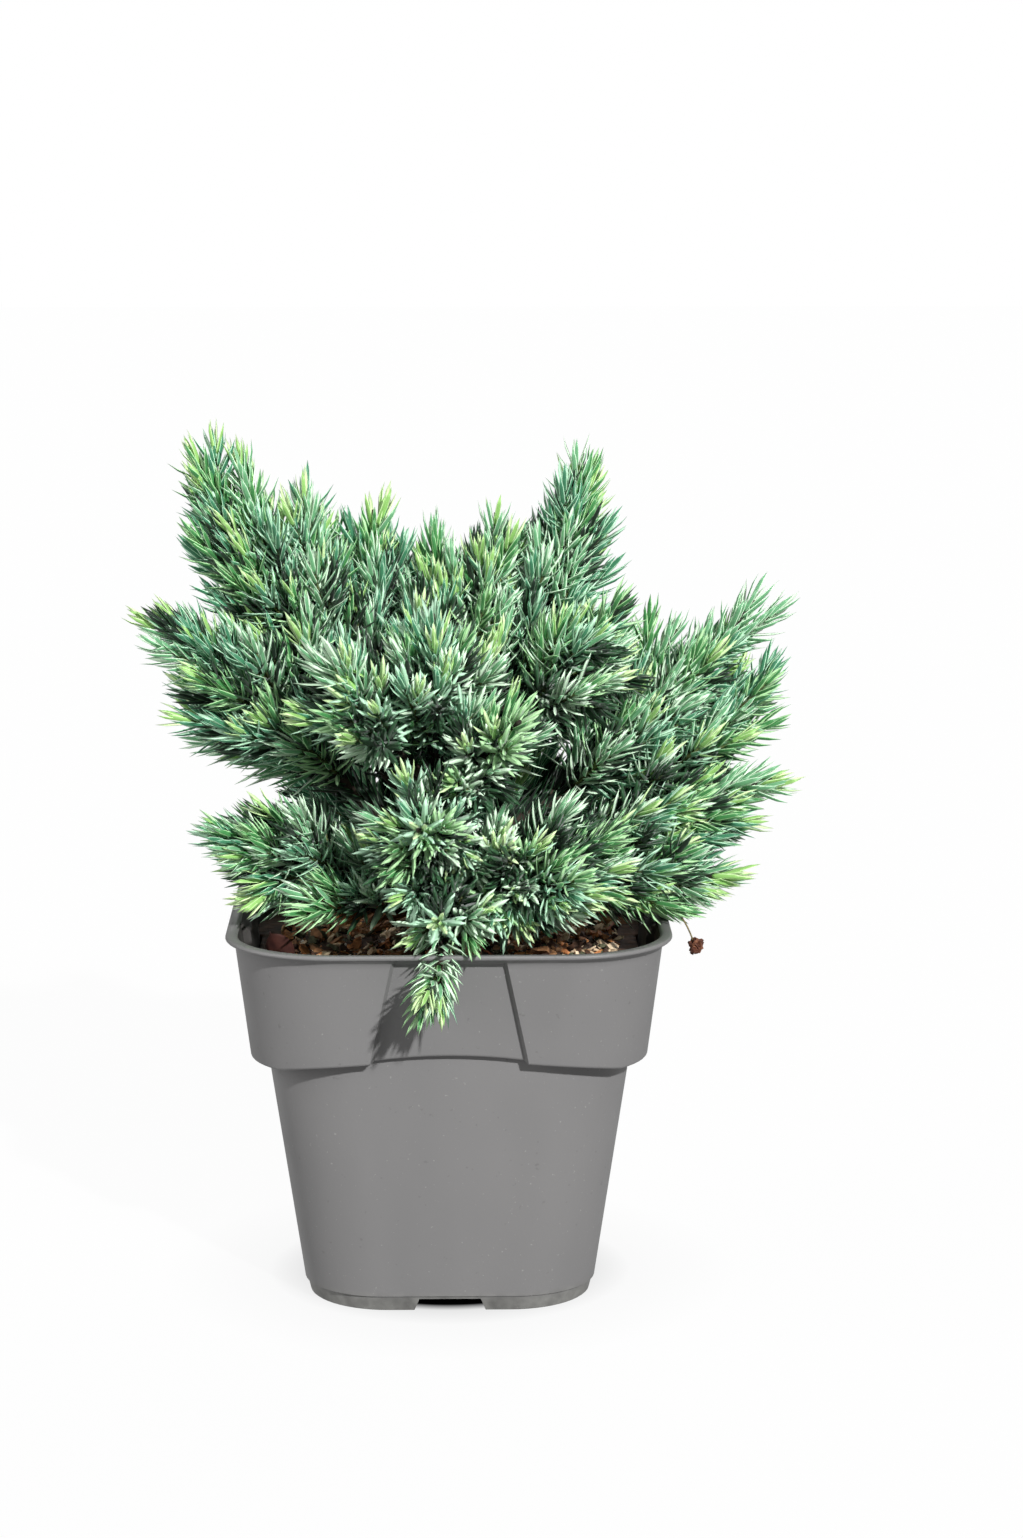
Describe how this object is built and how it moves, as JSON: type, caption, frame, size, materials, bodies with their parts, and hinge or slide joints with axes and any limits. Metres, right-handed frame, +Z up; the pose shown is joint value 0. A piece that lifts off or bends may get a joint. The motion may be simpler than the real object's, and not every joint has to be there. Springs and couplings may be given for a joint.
{
  "type": "potted juniper",
  "caption": "Dwarf blue juniper with dense, needled boughs, planted in a square tapering plastic pot with a stepped collar.",
  "frame": {"origin": "centre of the pot's flat underside, on the surface that it stands on", "axes": "+Z up, -Y towards the viewer of the picture, +X to the right as the viewer sees it"},
  "size_m": [0.2148, 0.189, 0.2767],
  "materials": {
    "pot": "satin mid-grey plastic with dust specks and faint scratches",
    "potting_soil": "dark crumbly compost with bark chips",
    "bark": "rough brown bark",
    "needles": "silver-blue to blue-green needles"
  },
  "bodies": {
    "root": {"pot": "pot", "potting_soil": "potting_soil", "trunk": "bark", "left_plume_bough": "bark", "left_spire_bough": "bark", "left_crest_bough": "bark", "inner_crest_bough": "bark", "left_arm_bough": "bark", "left_low_arm_bough": "bark", "left_skirt_bough": "bark", "front_crown_bough": "bark", "front_left_bough": "bark", "front_right_bough": "bark", "front_mid_bough": "bark", "front_low_bough": "bark", "front_burst_bough": "bark", "front_droop_bough": "bark", "centre_crest_bough": "bark", "mid_crest_bough": "bark", "right_plume_bough": "bark", "right_shoulder_bough": "bark", "right_tip_bough": "bark", "right_crest_bough": "bark", "right_arm_bough": "bark", "right_hand_bough": "bark", "right_skirt_bough": "bark", "back_left_bough": "bark", "back_centre_bough": "bark", "back_right_bough": "bark", "back_low_left_bough": "bark", "back_low_right_bough": "bark", "left_plume": "needles", "left_spire": "needles", "left_crest": "needles", "inner_crest": "needles", "left_arm": "needles", "left_low_arm": "needles", "left_skirt": "needles", "front_crown": "needles", "front_left": "needles", "front_right": "needles", "front_mid": "needles", "front_low": "needles", "front_burst": "needles", "front_droop": "needles", "centre_crest": "needles", "mid_crest": "needles", "right_plume": "needles", "right_shoulder": "needles", "right_tip": "needles", "right_crest": "needles", "right_arm": "needles", "right_hand": "needles", "right_skirt": "needles", "back_left": "needles", "back_centre": "needles", "back_right": "needles", "back_low_left": "needles", "back_low_right": "needles"}
  },
  "joints": []
}
